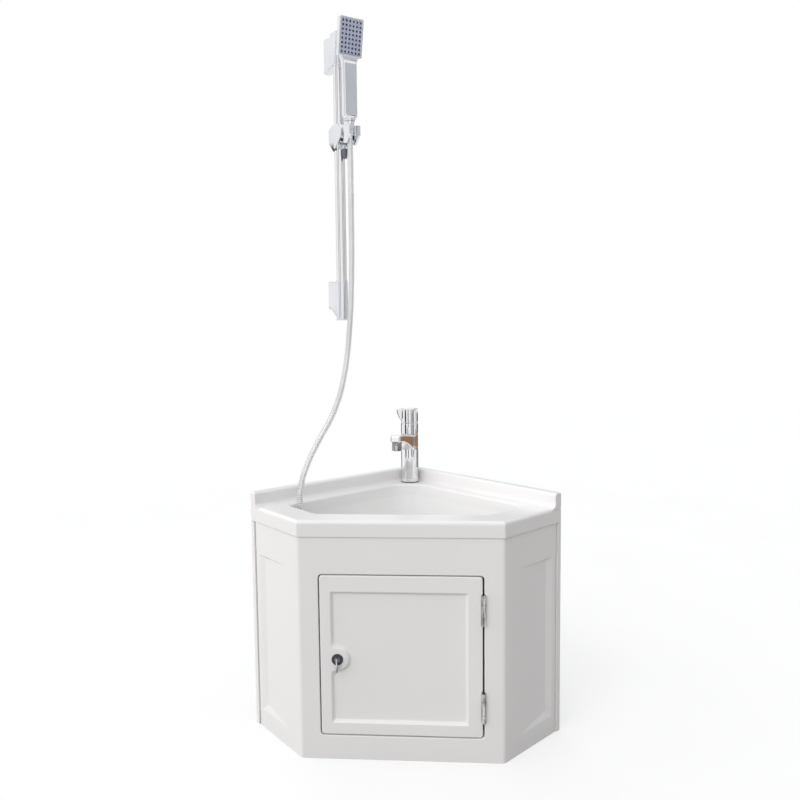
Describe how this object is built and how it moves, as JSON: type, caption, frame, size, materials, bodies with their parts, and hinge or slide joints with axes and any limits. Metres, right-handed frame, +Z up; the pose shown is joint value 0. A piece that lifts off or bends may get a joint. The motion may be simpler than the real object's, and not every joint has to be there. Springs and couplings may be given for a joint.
{
  "type": "corner vanity unit",
  "caption": "Corner cabinet with a hinged locking door, a moulded basin with plug and trap, a pillar tap and a hand shower on a sliding wall rail.",
  "frame": {"origin": "on the floor under the middle of the unit's box", "axes": "+Z up; the door faces -Y; the two long sides lie against walls that meet at the back corner, at +Y"},
  "size_m": [0.7072, 0.4998, 1.6389],
  "materials": {
    "moulding": "gloss",
    "steel": "satin",
    "chrome": "polished",
    "plated_plastic": "polished plating",
    "hose_steel": "interlocked strip",
    "dark_plastic": "gloss",
    "rubber": "matt",
    "grey_plastic": "satin",
    "brass": "satin",
    "spray_plate": "satin"
  },
  "bodies": {
    "cabinet": {"cabinet_shell": "moulding", "back_panel_left": "moulding", "back_panel_right": "moulding", "floor_panel": "moulding", "panel_screws": "steel", "basin": "moulding", "upper_frame_leaf": "steel", "upper_hinge_pin": "steel", "lower_frame_leaf": "steel", "lower_hinge_pin": "steel", "frame_hinge_screws": "steel", "drain_flange": "chrome", "drain_gasket": "rubber", "drain_nut": "grey_plastic", "trap_nut": "grey_plastic", "trap_head": "grey_plastic", "trap_cup": "grey_plastic", "outlet_nut": "grey_plastic", "outlet_pipe": "grey_plastic", "outlet_seal": "rubber", "tap_gasket": "rubber", "tap_body": "chrome", "tap_aerator": "chrome", "tap_collar": "chrome", "tap_cartridge": "brass", "tap_backnut": "brass", "inlet_union": "brass", "stop_valve": "chrome", "riser_pipe": "chrome", "riser_nuts": "chrome", "rail": "chrome", "top_bracket": "plated_plastic", "bottom_bracket": "plated_plastic", "hose_upper": "hose_steel", "hose_lower": "hose_steel", "hose_bottom_nut": "chrome", "hose_grommet": "rubber"},
    "door": {"door_skin": "moulding", "door_back": "moulding", "upper_door_leaf": "steel", "lower_door_leaf": "steel", "door_hinge_screws": "steel", "lock_body": "dark_plastic", "lock_nut": "steel"},
    "lock": {"lock_plug": "steel", "lock_key": "chrome", "lock_cam": "steel"},
    "plug": {"drain_plug": "chrome"},
    "tap_cap": {"tap_handle": "chrome"},
    "tap_valve": {"tap_valve_handle": "chrome"},
    "shower_valve": {"shower_valve_handle": "chrome"},
    "slider": {"slider": "plated_plastic", "holder_pin": "steel"},
    "knob": {"slider_knob": "plated_plastic"},
    "holder": {"holder": "plated_plastic"},
    "handset": {"hand_shower": "plated_plastic", "spray_face": "spray_plate", "spray_nozzles": "rubber", "hose_top_nut": "chrome"}
  },
  "joints": [
    {"name": "door_hinge", "type": "hinge", "parent": "cabinet", "child": "door", "pos_m": [0.17325, -0.23991, 0.23], "axis": [0, 0, 1], "range_deg": [0, 110]},
    {"name": "lock_turn", "type": "hinge", "parent": "door", "child": "lock", "pos_m": [-0.136, -0.23691, 0.22], "axis": [0, -1, 0], "range_deg": [0, 90]},
    {"name": "plug_lift", "type": "slide", "parent": "cabinet", "child": "plug", "axis": [0, 0, 1], "range_m": [0, 0.01]},
    {"name": "tap_turn", "type": "hinge", "parent": "cabinet", "child": "tap_cap", "pos_m": [0, 0.18391, 0.7], "axis": [0, 0, 1], "range_deg": [0, 90]},
    {"name": "tap_valve_turn", "type": "hinge", "parent": "cabinet", "child": "tap_valve", "pos_m": [-0.15839, -0.00748, 0.322], "axis": [-0.7071, 0.7071, 0], "range_deg": [0, 90]},
    {"name": "shower_valve_turn", "type": "hinge", "parent": "cabinet", "child": "shower_valve", "pos_m": [-0.15839, -0.00748, 0.298], "axis": [-0.7071, 0.7071, 0], "range_deg": [0, 90]},
    {"name": "slider_slide", "type": "slide", "parent": "cabinet", "child": "slider", "axis": [0, 0, 1], "range_m": [-0.27, 0.12], "deforming": ["hose_upper"]},
    {"name": "knob_turn", "type": "hinge", "parent": "slider", "child": "knob", "pos_m": [-0.13859, 0.01798, 1.34], "axis": [0, 0, 1], "range_deg": [0, 90]},
    {"name": "holder_tilt", "type": "hinge", "parent": "slider", "child": "holder", "pos_m": [-0.13859, 0.01798, 1.386], "axis": [0.7071, 0.7071, 0], "range_deg": [-3, 25], "deforming": ["hose_upper"]},
    {"name": "handset_lift", "type": "slide", "parent": "holder", "child": "handset", "axis": [0, 0, 1], "range_m": [0, 0.06], "deforming": ["hose_upper"]}
  ]
}
